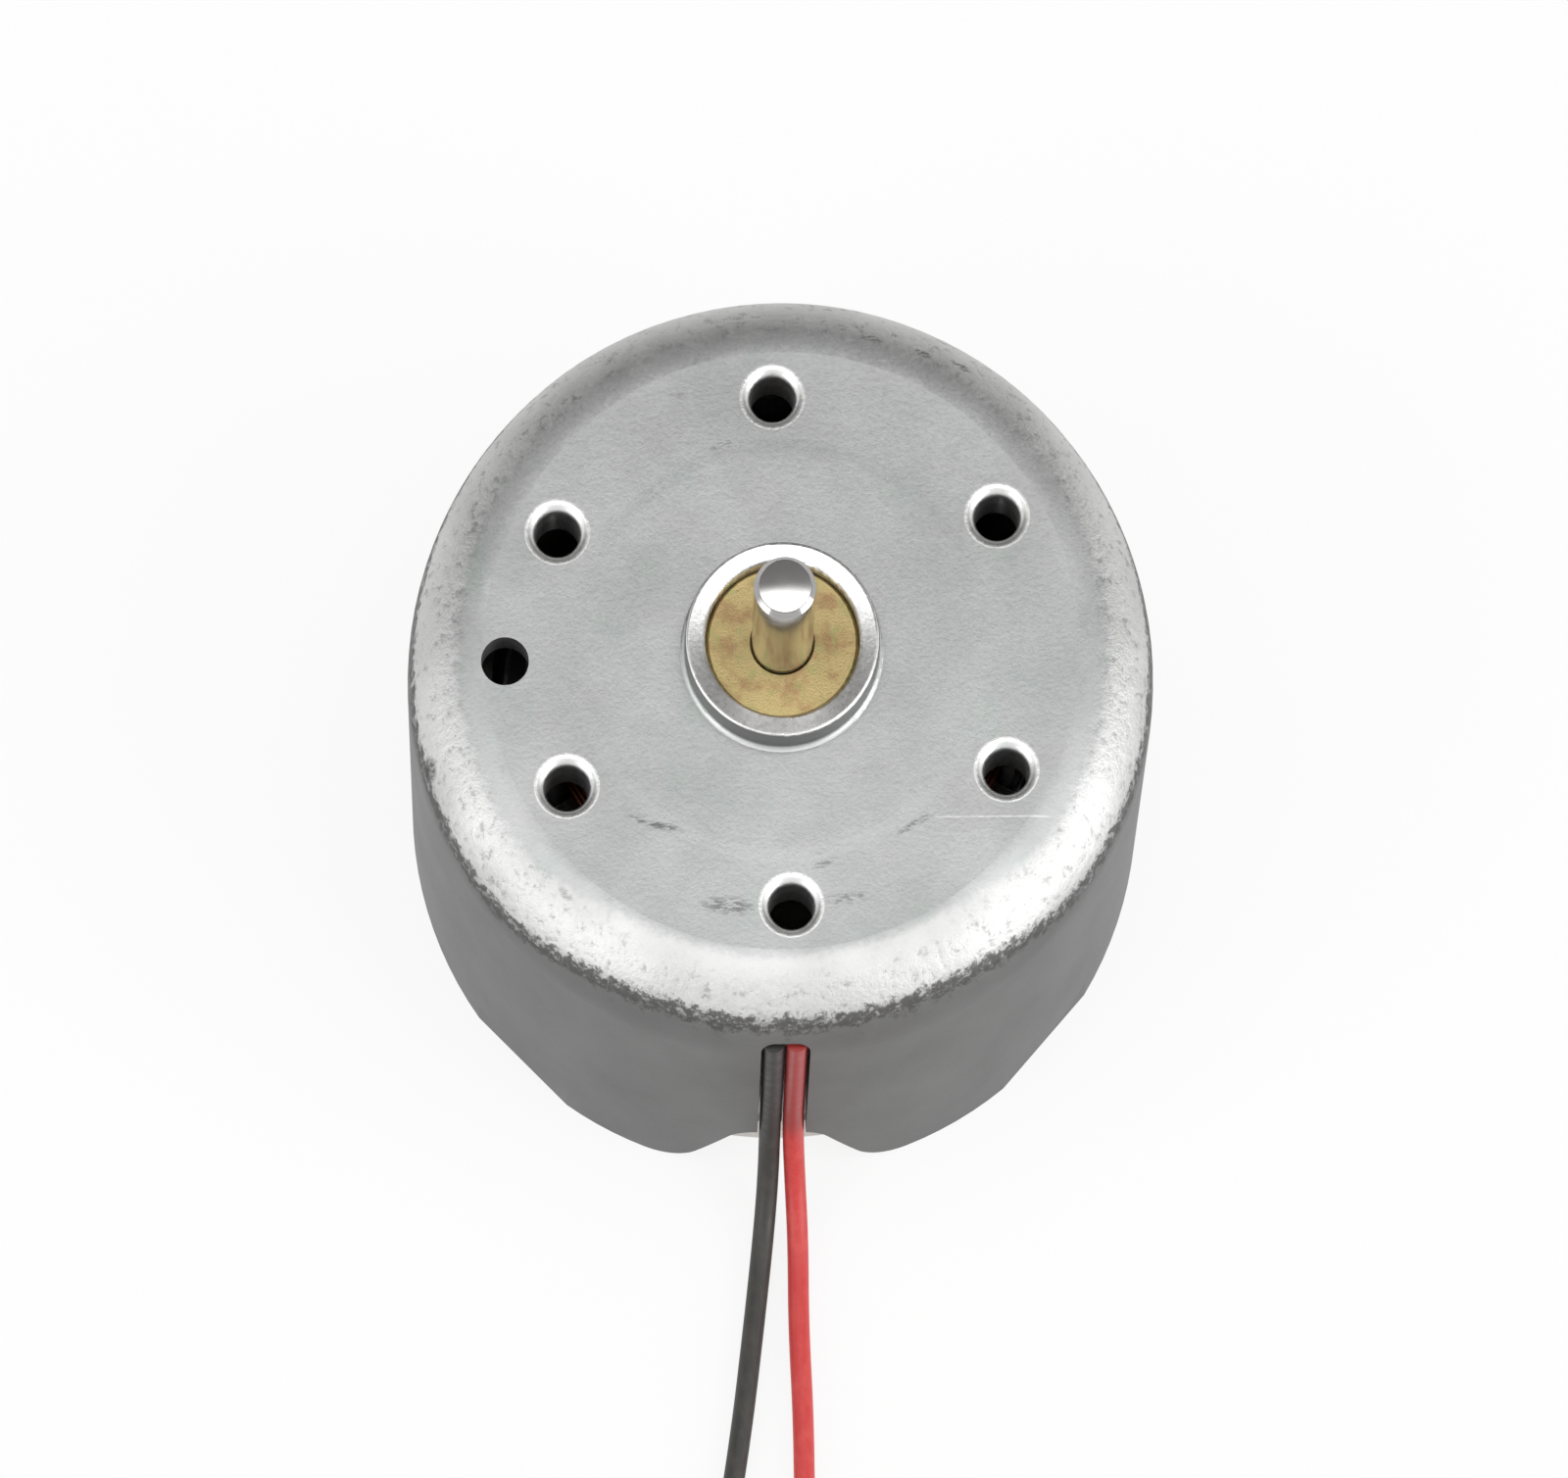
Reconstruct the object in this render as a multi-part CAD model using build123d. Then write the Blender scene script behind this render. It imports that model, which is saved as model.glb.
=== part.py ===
from build123d import *
import math
import os

# A small flat brushed DC motor, 24.4 mm across, standing on the rear rim of its can.
# Millimetres. The origin is the middle of the rear rim, +Z runs out along the shaft, -Y is the lead side.

# ---------------------------------------------------------------- driving dimensions
# can
can_radius = 12.2
can_height = 12.3
can_wall = 0.8
face_thickness = 0.8
shoulder_radius = 2.5
face_disc_radius = 6.45
face_disc_rise = 0.02
face_disc_slope = 0.45
boss_radius = 3.16
boss_height = 0.92
boss_edge_radius = 0.12
boss_root_radius = 0.15
# screw holes and the plain hole in the face
screw_circle_radius = 8.25
screw_count = 6
screw_bore_radius = 0.72
screw_lip_radius = 0.3
collar_radius = 1.2
collar_depth = 0.6
plain_hole_radius = 0.78
plain_hole_offset = 9.0
# rear rim: flared opening for the leads, channel up the wall, four staking flats
notch_offset = -0.4
notch_mouth = 6.6
notch_crown = 2.6
notch_height = 3.3
notch_flare_radius = 2.0
notch_crown_radius = 1.2
channel_gap = 0.07
channel_corner_radius = 0.48
channel_top = 10.55
channel_offset = -0.28
stake_angles = (-137.0, -43.0, 43.0, 137.0)
stake_depth = 0.18
stake_height = 1.1
stake_ledge_height = 0.4
stake_ledge_depth = 0.55
stake_ledge_angle = 17.0
# clearances, and how far a cutting shape runs past what it cuts
overrun = 1.0
seat_gap = 0.01
press_gap = 0.02
running_gap = 0.03
brush_gap = 0.06
rotor_air_gap = 0.35
axial_play = 0.25
# shaft and bearings
shaft_radius = 1.0
journal_step = 0.015
journal_taper = 0.6
shaft_reach = 4.8
shaft_chamfer = 0.16
taper_depth = 0.05
front_bearing_radius = 2.5
front_bearing_length = 1.8
front_bearing_recess = 0.3
bearing_edge = 0.1
rear_bearing_radius = 2.0
rear_bearing_length = 1.3
# magnet
magnet_thickness = 1.9
magnet_bottom = 2.6
magnet_headroom = 0.15
magnet_fit = 0.05
magnet_gap_angle = 32.0
# end cap
cap_bottom = 0.5
cap_thickness = 1.2
cap_fit = 0.1
cap_skirt_height = 1.9
cap_skirt_wall = 1.0
hub_radius = 3.0
hub_bottom = 0.3
hub_top = 2.2
cap_recess_inner = 4.0
cap_recess_outer = 9.8
cap_recess_depth = 0.3
cap_rib_count = 6
cap_rib_width = 0.9
tool_hole_radius = 0.7
tool_hole_offset = 5.4
thrust_pad_thickness = 0.25
tongue_width = 2.7
tongue_inset = 0.3
tongue_thickness = 1.2
tongue_top = 9.2
# terminals, brushes
terminal_width = 0.62
terminal_thickness = 0.2
terminal_top = 9.75
terminal_foot_bottom = 1.95
terminal_foot_length = 2.0
arm_thickness = 0.15
arm_bottom = 2.3
arm_height = 1.5
arm_root_depth = 1.6
arm_pad_overhang = 0.3
arm_pad_overlap = 0.05
arm_knee_reach = 6.4
arm_end_reach = 0.9
tip_thickness = 0.3
tip_length = 1.1
tip_height = 1.2
damper_size = (0.8, 1.4, 1.2)
damper_reach = 3.0
damper_corner_radius = 0.2
# commutator
commutator_radius = 2.3
commutator_bottom = 2.5
commutator_height = 1.9
segment_thickness = 0.5
segment_count = 3
segment_slot = 0.3
segment_turn = 30.0
tang_length = 0.7
tang_root = 0.2
tang_width = 0.8
tang_thickness = 0.2
hub_collar_height = 0.2
hub_collar_inset = 0.1
varistor_radius = 3.1
varistor_fit = 0.1
varistor_thickness = 0.36
# armature
pole_count = 3
core_bottom = 5.4
lamination_pitch = 0.5
lamination_count = 6
core_hub_radius = 2.6
pole_arm_width = 2.0
pole_shoe_thickness = 0.8
pole_shoe_half_angle = 48.0
insulator_thickness = 0.3
insulator_margin = 0.15
winding_inner_reach = 3.5
winding_outer_reach = 7.7
winding_build = 1.0
winding_fit = 0.08
winding_corner = 0.8
# washers and spacer
washer_thickness = 0.2
washer_lift = 0.04
rear_washer_radius = 1.8
front_washer_radius = 2.0
spacer_radius = 1.6
# leads
lead_radius = 0.36
lead_spacing = 0.76
lead_inset = 0.3
lead_top = 10.3
lead_length = 100.0
stripped_length = 3.0
conductor_radius = 0.22
solder_radius = 0.36
solder_proud = 0.22
solder_height = 9.6
coil_start_radius = 5.3
coil_pitch = 0.8
coil_distance = 17.2
coil_entry_gap = 2.4
end_turn_in = 45.0
end_turn_on = 20.0
end_gap = 0.1

# ---------------------------------------------------------------- worked-out places
can_bore_radius = can_radius - can_wall
face_inside = can_height - face_thickness
inner_corner = max(shoulder_radius - can_wall, 0.2)
boss_top = can_height + boss_height
channel_width = lead_spacing + 2 * (lead_radius + channel_gap)
journal_radius = shaft_radius - journal_step
seat_radius = journal_radius + seat_gap
bearing_bore_radius = journal_radius + running_gap
front_bearing_top = boss_top - front_bearing_recess
front_bearing_bottom = front_bearing_top - front_bearing_length
rear_bearing_top = hub_top
rear_bearing_bottom = rear_bearing_top - rear_bearing_length
thrust_pad_top = rear_bearing_bottom - seat_gap
thrust_pad_bottom = thrust_pad_top - thrust_pad_thickness
shaft_bottom = thrust_pad_top + seat_gap
shaft_top = can_height + shaft_reach
magnet_radius = can_bore_radius - magnet_fit
magnet_bore_radius = magnet_radius - magnet_thickness
magnet_top = face_inside - inner_corner - magnet_headroom
core_radius = magnet_bore_radius - rotor_air_gap
core_top = core_bottom + lamination_count * lamination_pitch
insulator_top = core_top + seat_gap + insulator_thickness
insulator_bottom = core_bottom - seat_gap - insulator_thickness
cap_radius = can_bore_radius - cap_fit
cap_top = cap_bottom + cap_thickness
commutator_top = commutator_bottom + commutator_height
rear_washer_bottom = rear_bearing_top + washer_lift
front_washer_top = front_bearing_bottom - axial_play
front_washer_bottom = front_washer_top - washer_thickness
tongue_front = can_bore_radius - tongue_inset
tongue_back = tongue_front - tongue_thickness
terminal_foot_reach = tongue_front - terminal_foot_length
arm_root_reach = tongue_front - arm_root_depth
varistor_bore = commutator_radius - segment_thickness + varistor_fit
lead_seat = can_radius - lead_inset
solder_seat = tongue_front + solder_proud
lead_xs = (channel_offset - lead_spacing / 2, channel_offset + lead_spacing / 2)
tip_inner = commutator_radius + brush_gap
arm_line = tip_inner + tip_thickness + seat_gap + arm_thickness / 2
coil_centre_y = -can_radius - coil_distance

# The routes of the two leads from their solder joints, down the channel, out of the notch and along
# the floor to their coils.
wall_y = -can_radius
black_route = [
    (lead_xs[0], -lead_seat, lead_top),
    (lead_xs[0] + 0.01, -lead_seat + 0.02, 6.95),
    (lead_xs[0], -lead_seat, 3.3),
    (-0.72, wall_y - 0.75, 1.46),
    (-0.95, wall_y - 2.57, 0.40),
    (-1.38, wall_y - 5.5, lead_radius),
    (-1.86, wall_y - 8.6, lead_radius),
    (-2.45, wall_y - 11.7, lead_radius),
    (-3.10, wall_y - 14.8, lead_radius),
]
red_route = [
    (lead_xs[1], -lead_seat, lead_top),
    (lead_xs[1] + 0.01, -lead_seat + 0.02, 6.95),
    (lead_xs[1], -lead_seat, 3.3),
    (0.17, wall_y - 0.75, 1.46),
    (0.24, wall_y - 2.57, 0.40),
    (0.15, wall_y - 5.4, lead_radius),
    (0.20, wall_y - 8.5, lead_radius),
    (0.12, wall_y - 11.7, lead_radius),
    (0.30, wall_y - 14.8, lead_radius),
]
coil_centre_xs = (black_route[-1][0] - coil_start_radius, red_route[-1][0] + coil_start_radius)

BASE = (Align.CENTER, Align.CENTER, Align.MIN)


# ---------------------------------------------------------------- helpers
def disc(radius, bottom, top):
    """A solid disc about the shaft's axis."""
    return Pos(0, 0, bottom) * Cylinder(radius, top - bottom, align=BASE)


def ring(radius, bore, bottom, top):
    """A ring about the shaft's axis."""
    return disc(radius, bottom, top) - disc(bore, bottom, top)


def block(x, y, z):
    """A box given by its lowest and highest value along each axis."""
    size = (x[1] - x[0], y[1] - y[0], z[1] - z[0])
    middle = ((x[0] + x[1]) / 2, (y[0] + y[1]) / 2, (z[0] + z[1]) / 2)
    return Pos(*middle) * Box(*size)


def circles(shape, radius, height):
    """The circular edges of a shape with this radius at this height."""
    found = []
    for edge in shape.edges().filter_by(GeomType.CIRCLE):
        if abs(edge.radius - radius) < 1e-4 and abs(edge.arc_center.Z - height) < 1e-4:
            found.append(edge)
    return found


def around(count, start=0.0):
    """Evenly spaced angles about the shaft's axis, in degrees."""
    return [start + 360.0 * i / count for i in range(count)]


def wedge(half_angle, reach=40.0):
    """A flat wedge that opens towards +X."""
    x = reach * math.cos(math.radians(half_angle))
    y = reach * math.sin(math.radians(half_angle))
    return make_face(Polyline((0, 0), (x, -y), (x, y), close=True))


# ---------------------------------------------------------------- can
def motor_can():
    shell = disc(can_radius, 0, can_height)
    shell = fillet(circles(shell, can_radius, can_height), shoulder_radius)
    cavity = disc(can_bore_radius, 0, face_inside)
    cavity = fillet(circles(cavity, can_bore_radius, face_inside), inner_corner)
    can = shell - cavity
    foot_radius = face_disc_radius + face_disc_slope
    can += Pos(0, 0, can_height) * Cone(foot_radius, face_disc_radius, face_disc_rise, align=BASE)
    can += disc(boss_radius, face_inside, boss_top)
    can -= disc(front_bearing_radius, face_inside - overrun, boss_top)
    can = fillet(circles(can, boss_radius, boss_top), boss_edge_radius)
    can = fillet(circles(can, boss_radius, can_height + face_disc_rise), boss_root_radius)
    can = fillet(circles(can, front_bearing_radius, boss_top), bearing_edge)
    can = screw_holes(can)
    hole = disc(plain_hole_radius, face_inside - overrun, can_height + overrun)
    can -= Pos(-plain_hole_offset, 0, 0) * hole
    can -= lead_notch()
    can -= lead_channel()
    for angle in stake_angles:
        turn = Rot(0, 0, angle)
        flat = (can_radius - stake_depth, can_radius + overrun)
        can -= turn * block(flat, (-can_radius / 2, can_radius / 2), (-overrun, stake_height))
        ledge = ring(can_bore_radius, can_bore_radius - stake_ledge_depth, 0, stake_ledge_height)
        ledge &= extrude(wedge(stake_ledge_angle / 2), stake_ledge_height)
        can += turn * ledge
    return can


def screw_holes(can):
    """Six extruded and tapped holes: a collar inside, a bore and a rounded mouth."""
    for angle in around(screw_count, 90.0):
        place = Rot(0, 0, angle) * Pos(screw_circle_radius, 0, 0)
        can += place * disc(collar_radius, face_inside - collar_depth, face_inside + face_thickness / 2)
        can -= place * disc(screw_bore_radius, face_inside - collar_depth - overrun, can_height + overrun)
    return fillet(circles(can, screw_bore_radius, can_height), screw_lip_radius)


def lead_notch():
    """A bell-shaped opening in the rear rim: its sides flare out into the rim and round over at the top."""
    mouth, crown, skirt = notch_mouth / 2, notch_crown / 2, notch_mouth
    left = [(-skirt, -overrun), (-skirt, 0), (-mouth, 0), (-crown, notch_height)]
    outline = left + [(-x, z) for x, z in reversed(left)]
    face = make_face(Polyline(*outline, close=True))
    flares = [v for v in face.vertices() if abs(abs(v.X) - mouth) < 1e-6]
    face = fillet(flares, notch_flare_radius)
    crowns = [v for v in face.vertices() if abs(v.Y - notch_height) < 1e-6]
    face = fillet(crowns, notch_crown_radius)
    upright = Pos(notch_offset, -can_bore_radius + overrun, 0) * Rot(90, 0, 0)
    return upright * extrude(face, can_wall + 2 * overrun)


def lead_channel():
    """The upright slot in the can's wall that the two leads lie in side by side."""
    half = channel_width / 2
    depth = (-can_radius - overrun, -can_bore_radius + overrun)
    sides = (channel_offset - half, channel_offset + half)
    slot = block(sides, depth, (notch_height / 2, channel_top))
    upper = slot.edges().filter_by(Axis.Y).sort_by(Axis.Z)[-2:]
    return fillet(upper, channel_corner_radius)


# ---------------------------------------------------------------- bearings and magnet
def front_bearing():
    radius = front_bearing_radius - press_gap
    bearing = ring(radius, bearing_bore_radius, front_bearing_bottom, front_bearing_top)
    bearing = chamfer(circles(bearing, radius, front_bearing_top), bearing_edge)
    return chamfer(circles(bearing, bearing_bore_radius, front_bearing_top), bearing_edge / 2)


def rear_bearing():
    radius = rear_bearing_radius - press_gap
    bearing = ring(radius, bearing_bore_radius, rear_bearing_bottom, rear_bearing_top)
    return chamfer(circles(bearing, radius, rear_bearing_top), bearing_edge)


def thrust_pad():
    return disc(rear_bearing_radius - press_gap, thrust_pad_bottom, thrust_pad_top)


def ring_magnet():
    """A flexible magnet strip rolled into a ring that is open at the lead side."""
    magnet = ring(magnet_radius, magnet_bore_radius, magnet_bottom, magnet_top)
    gap = Rot(0, 0, -90) * extrude(wedge(magnet_gap_angle / 2), magnet_top + overrun)
    return magnet - gap


# ---------------------------------------------------------------- end cap
def end_cap():
    cap = disc(cap_radius, cap_bottom, cap_top)
    skirt_top = cap_bottom + cap_skirt_height
    cap += ring(cap_radius, cap_radius - cap_skirt_wall, cap_bottom, skirt_top)
    cap += disc(hub_radius, hub_bottom, hub_top)
    cap -= disc(rear_bearing_radius, thrust_pad_bottom - seat_gap, hub_top + overrun)
    half = tongue_width / 2
    sides = (channel_offset - half, channel_offset + half)
    cap += block(sides, (-tongue_front, -tongue_back), (cap_bottom, tongue_top))
    relief = (terminal_foot_bottom - seat_gap, skirt_top + overrun)
    cap -= block(sides, (-cap_radius - overrun, -tongue_front), relief)
    for x in lead_xs:
        cap -= terminal_passage(x)
    return cap - cap_underside()


def cap_underside():
    """The shallow ribbed recess in the outside face, and the two holes for the brush setting tool."""
    recess = ring(cap_recess_outer, cap_recess_inner, cap_bottom - overrun, cap_bottom + cap_recess_depth)
    for angle in around(cap_rib_count, 90.0):
        half = cap_rib_width / 2
        recess -= Rot(0, 0, angle) * block((0, can_radius), (-half, half), (-2 * overrun, cap_top))
    for side in (-1, 1):
        hole = disc(tool_hole_radius, cap_bottom - overrun, cap_top + overrun)
        recess += Pos(side * tool_hole_offset, 0, 0) * hole
    return recess


def terminal_passage(x):
    """The slot through the tongue's foot that a terminal's foot passes through."""
    half = terminal_width / 2 + seat_gap
    top = terminal_foot_bottom + terminal_thickness + seat_gap
    depth = (-cap_radius - overrun, -cap_radius + cap_skirt_wall + 2 * overrun)
    return block((x - half, x + half), depth, (terminal_foot_bottom - seat_gap, top))


# ---------------------------------------------------------------- terminals and brushes
def terminal(x):
    """A strip up the outside of the tongue, with a foot that runs in through it."""
    half = terminal_width / 2
    face = tongue_front + seat_gap
    sides = (x - half, x + half)
    strip = block(sides, (-face - terminal_thickness, -face), (terminal_foot_bottom, terminal_top))
    foot_top = terminal_foot_bottom + terminal_thickness
    foot = block(sides, (-face, -terminal_foot_reach), (terminal_foot_bottom, foot_top))
    return strip + foot


def solder_joint(x):
    return Pos(x, -solder_seat, solder_height) * Sphere(solder_radius)


def brush_arm(x, side):
    """A spring strip on edge, from the terminal's foot to beside the commutator."""
    beside = side * arm_line
    line = Polyline((x, -arm_root_reach), (beside, -arm_knee_reach), (beside, arm_end_reach))
    arm = Pos(0, 0, arm_bottom) * extrude(trace(line, arm_thickness), arm_height)
    half = terminal_width / 2
    foot_top = terminal_foot_bottom + terminal_thickness + seat_gap
    pad_y = (-arm_root_reach - arm_pad_overhang, -terminal_foot_reach)
    pad = block((x - half, x + half), pad_y, (foot_top, arm_bottom + arm_pad_overlap))
    return arm + pad


def brush_tip(side):
    middle = arm_bottom + arm_height / 2
    x = side * (tip_inner + tip_thickness / 2)
    return Pos(x, 0, middle) * Box(tip_thickness, tip_length, tip_height)


def brush_damper(side):
    width, length, height = damper_size
    x = side * (arm_line + arm_thickness / 2 + seat_gap + width / 2)
    damper = Pos(x, -damper_reach, arm_bottom + arm_height / 2) * Box(width, length, height)
    return fillet(damper.edges().filter_by(Axis.Z), damper_corner_radius)


# ---------------------------------------------------------------- rotor
def shaft():
    """The journals are a hair thinner than the output end, with a short taper inside the front bush."""
    upper_start = front_bearing_top + taper_depth
    lower_end = upper_start - journal_taper
    profile = [
        (0, shaft_bottom),
        (journal_radius - shaft_chamfer, shaft_bottom),
        (journal_radius, shaft_bottom + shaft_chamfer),
        (journal_radius, lower_end),
        (shaft_radius, upper_start),
        (shaft_radius, shaft_top - shaft_chamfer),
        (shaft_radius - shaft_chamfer, shaft_top),
        (0, shaft_top),
    ]
    return revolve(Plane.XZ * make_face(Polyline(*profile, close=True)), Axis.Z)


def pole_outline(margin=0.0):
    """The three-pole outline of a lamination, or of an insulator that is smaller by a margin."""
    outline = Circle(core_hub_radius)
    outer = core_radius - margin
    shoe = Circle(outer) - Circle(core_radius - pole_shoe_thickness + margin)
    shoe &= wedge(pole_shoe_half_angle - 2 * margin)
    for angle in around(pole_count, 90.0):
        arm_length = core_radius - pole_shoe_thickness / 2
        arm = Pos(arm_length / 2, 0) * Rectangle(arm_length, pole_arm_width - 2 * margin)
        outline += Rot(0, 0, angle) * arm
        outline += Rot(0, 0, angle) * shoe
    return outline - Circle(seat_radius)


def armature_core():
    sheet = extrude(pole_outline(), lamination_pitch - seat_gap)
    return [Pos(0, 0, core_bottom + i * lamination_pitch) * sheet for i in range(lamination_count)]


def insulator(bottom):
    return Pos(0, 0, bottom) * extrude(pole_outline(insulator_margin), insulator_thickness)


def winding(angle):
    """One coil of enamelled wire round a pole arm."""
    inner_half = pole_arm_width / 2 + winding_fit
    outer_half = inner_half + winding_build
    low = insulator_bottom - winding_fit
    high = insulator_top + winding_fit
    reach = (winding_inner_reach, winding_outer_reach)
    coil = block(reach, (-outer_half, outer_half), (low - winding_build, high + winding_build))
    coil = fillet(coil.edges().filter_by(Axis.X), winding_corner)
    window = (winding_inner_reach - overrun, winding_outer_reach + overrun)
    coil -= block(window, (-inner_half, inner_half), (low, high))
    return Rot(0, 0, angle) * coil


def commutator_hub():
    radius = commutator_radius - segment_thickness - seat_gap
    top = insulator_bottom - seat_gap
    hub = ring(radius, seat_radius, commutator_bottom, top)
    flange_radius = commutator_radius - hub_collar_inset
    return hub + ring(flange_radius, seat_radius, commutator_bottom, commutator_bottom + hub_collar_height)


def commutator_segments():
    """Three copper segments, each with a tang for its wire."""
    bottom = commutator_bottom + hub_collar_height + seat_gap
    bore = commutator_radius - segment_thickness
    segments = []
    half = 180.0 / segment_count - math.degrees(segment_slot / 2 / commutator_radius)
    for angle in around(segment_count, segment_turn):
        segment = ring(commutator_radius, bore, bottom, commutator_top)
        segment &= Pos(0, 0, bottom) * extrude(wedge(half), commutator_height)
        tang_bottom = commutator_top - tang_thickness
        reach = (commutator_radius - tang_root, commutator_radius + tang_length)
        segment += block(reach, (-tang_width / 2, tang_width / 2), (tang_bottom, commutator_top))
        segments.append(Rot(0, 0, angle) * segment)
    return segments


def varistor_ring():
    bottom = commutator_top + seat_gap
    return ring(varistor_radius, varistor_bore, bottom, bottom + varistor_thickness)


def rear_washer():
    top = rear_washer_bottom + washer_thickness
    return ring(rear_washer_radius, seat_radius, rear_washer_bottom, top)


def front_washer():
    return ring(front_washer_radius, seat_radius, front_washer_bottom, front_washer_top)


def spacer():
    return ring(spacer_radius, seat_radius, insulator_top + seat_gap, front_washer_bottom - seat_gap)


# ---------------------------------------------------------------- leads
def corner_radii(route):
    """Each corner's arc is as large as its two runs allow."""
    points = [Vector(*p) for p in route]
    radii = []
    for before, here, after in zip(points, points[1:], points[2:]):
        run_in = here - before
        run_out = after - here
        half_turn = math.radians(run_in.get_angle(run_out)) / 2
        radii.append(0.45 * min(run_in.length, run_out.length) / math.tan(half_turn))
    return radii


def lead_path(route):
    return FilletPolyline(*route, radius=corner_radii(route))


def lead_tube(route):
    path = lead_path(route)
    section = Plane(origin=path @ 0, z_dir=path % 0) * Circle(lead_radius)
    return sweep(section, path=path)


def coil_sweep(route):
    """The angle in radians through which a coil winds, so that its lead has its whole length."""
    left = lead_length - stripped_length - lead_path(route).length - coil_entry_gap
    shrink = coil_pitch / (4 * math.pi)
    root = math.sqrt(coil_start_radius ** 2 - 4 * shrink * left)
    return (coil_start_radius - root) / (2 * shrink)


def coil_end_radius(route):
    return coil_start_radius - coil_pitch * coil_sweep(route) / (2 * math.pi)


def lead_coil(route, centre_x):
    """The outer shape of a flat coil that lies on the floor."""
    body = ring(coil_start_radius + lead_radius, coil_end_radius(route) - lead_radius, 0, 2 * lead_radius)
    return Pos(centre_x, coil_centre_y, 0) * body


def lead_end(route, centre_x, side):
    """The stripped and tinned end, which points in across the coil's open middle."""
    start_angle = 180.0 if side > 0 else 0.0
    angle = start_angle + side * (math.degrees(coil_sweep(route)) + end_turn_on)
    radius = coil_end_radius(route) - lead_radius - end_gap
    place = Pos(centre_x, coil_centre_y, lead_radius) * Rot(0, 0, angle) * Pos(radius, 0, 0)
    heading = Rot(0, 0, side * (90.0 + end_turn_in)) * Rot(0, 90, 0)
    wire = Cylinder(conductor_radius, stripped_length, align=BASE)
    wire = fillet(circles(wire, conductor_radius, stripped_length), conductor_radius / 2)
    return place * heading * wire


# ---------------------------------------------------------------- every piece
def pieces():
    made = {
        "motor_can": motor_can(),
        "front_bearing": front_bearing(),
        "rear_bearing": rear_bearing(),
        "thrust_pad": thrust_pad(),
        "ring_magnet": ring_magnet(),
        "end_cap": end_cap(),
        "shaft": shaft(),
        "armature_core": armature_core(),
        "rear_insulator": insulator(insulator_bottom),
        "front_insulator": insulator(core_top + seat_gap),
        "commutator_hub": commutator_hub(),
        "commutator_segments": commutator_segments(),
        "varistor_ring": varistor_ring(),
        "rear_washer": rear_washer(),
        "front_washer": front_washer(),
        "spacer": spacer(),
    }
    for number, angle in enumerate(around(pole_count, 90.0), start=1):
        made[f"winding_{number}"] = winding(angle)
    for name, side, x in (("left", -1, lead_xs[0]), ("right", 1, lead_xs[1])):
        made[f"terminal_{name}"] = terminal(x)
        made[f"solder_{name}"] = solder_joint(x)
        made[f"brush_arm_{name}"] = brush_arm(x, side)
        made[f"brush_tip_{name}"] = brush_tip(side)
        made[f"brush_damper_{name}"] = brush_damper(side)
    leads = (("black", -1, black_route, coil_centre_xs[0]), ("red", 1, red_route, coil_centre_xs[1]))
    for name, side, route, centre_x in leads:
        tube = lead_tube(route)
        made[f"lead_{name}"] = tube
        made[f"lead_{name}_coil"] = lead_coil(route, centre_x)
        made[f"lead_{name}_end"] = lead_end(route, centre_x, side)
        report_lead(name, route, tube)
    return made


def report_lead(name, route, tube):
    """Prints a lead's bends, and its volume against its section times its length."""
    length = lead_path(route).length
    expected = math.pi * lead_radius ** 2 * length
    bends = [round(r, 1) for r in corner_radii(route)]
    print(name, "lead: corner radii", bends, "length", round(length, 2), "mm")
    print(name, "lead: volume", round(tube.volume, 4), "section x length", round(expected, 4))
    print(name, "coil: sweep", round(math.degrees(coil_sweep(route)), 1), "deg, end radius",
          round(coil_end_radius(route), 3))


os.makedirs("parts", exist_ok=True)
for node, shape in pieces().items():
    solids = shape if isinstance(shape, list) else shape.solids()
    whole = solids[0] if len(solids) == 1 else Compound(children=list(solids))
    export_step(whole, f"parts/{node}.step")
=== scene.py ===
import bpy
import math
from mathutils import Matrix, Vector


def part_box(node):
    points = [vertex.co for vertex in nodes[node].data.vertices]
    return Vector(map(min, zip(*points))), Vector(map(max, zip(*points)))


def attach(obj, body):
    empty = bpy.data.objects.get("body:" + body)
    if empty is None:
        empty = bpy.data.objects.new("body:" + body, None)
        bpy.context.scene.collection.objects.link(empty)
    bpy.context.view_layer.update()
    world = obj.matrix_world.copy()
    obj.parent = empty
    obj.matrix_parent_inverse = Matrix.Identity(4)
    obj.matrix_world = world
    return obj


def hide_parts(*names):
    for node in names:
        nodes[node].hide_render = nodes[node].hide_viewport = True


# A flat round DC motor seen from above its face: the CAD frame with its finishes, its two leads, a pale
# floor and soft studio light. Lengths are written in millimetres and turned into metres with MM.

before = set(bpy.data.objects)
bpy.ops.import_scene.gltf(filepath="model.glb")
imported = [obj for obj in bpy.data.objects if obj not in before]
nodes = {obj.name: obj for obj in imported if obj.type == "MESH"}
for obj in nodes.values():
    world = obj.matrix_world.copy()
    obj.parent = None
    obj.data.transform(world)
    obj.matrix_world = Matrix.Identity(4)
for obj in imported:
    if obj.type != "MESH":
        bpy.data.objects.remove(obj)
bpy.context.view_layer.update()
scene = bpy.context.scene
MM = 0.001

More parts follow.
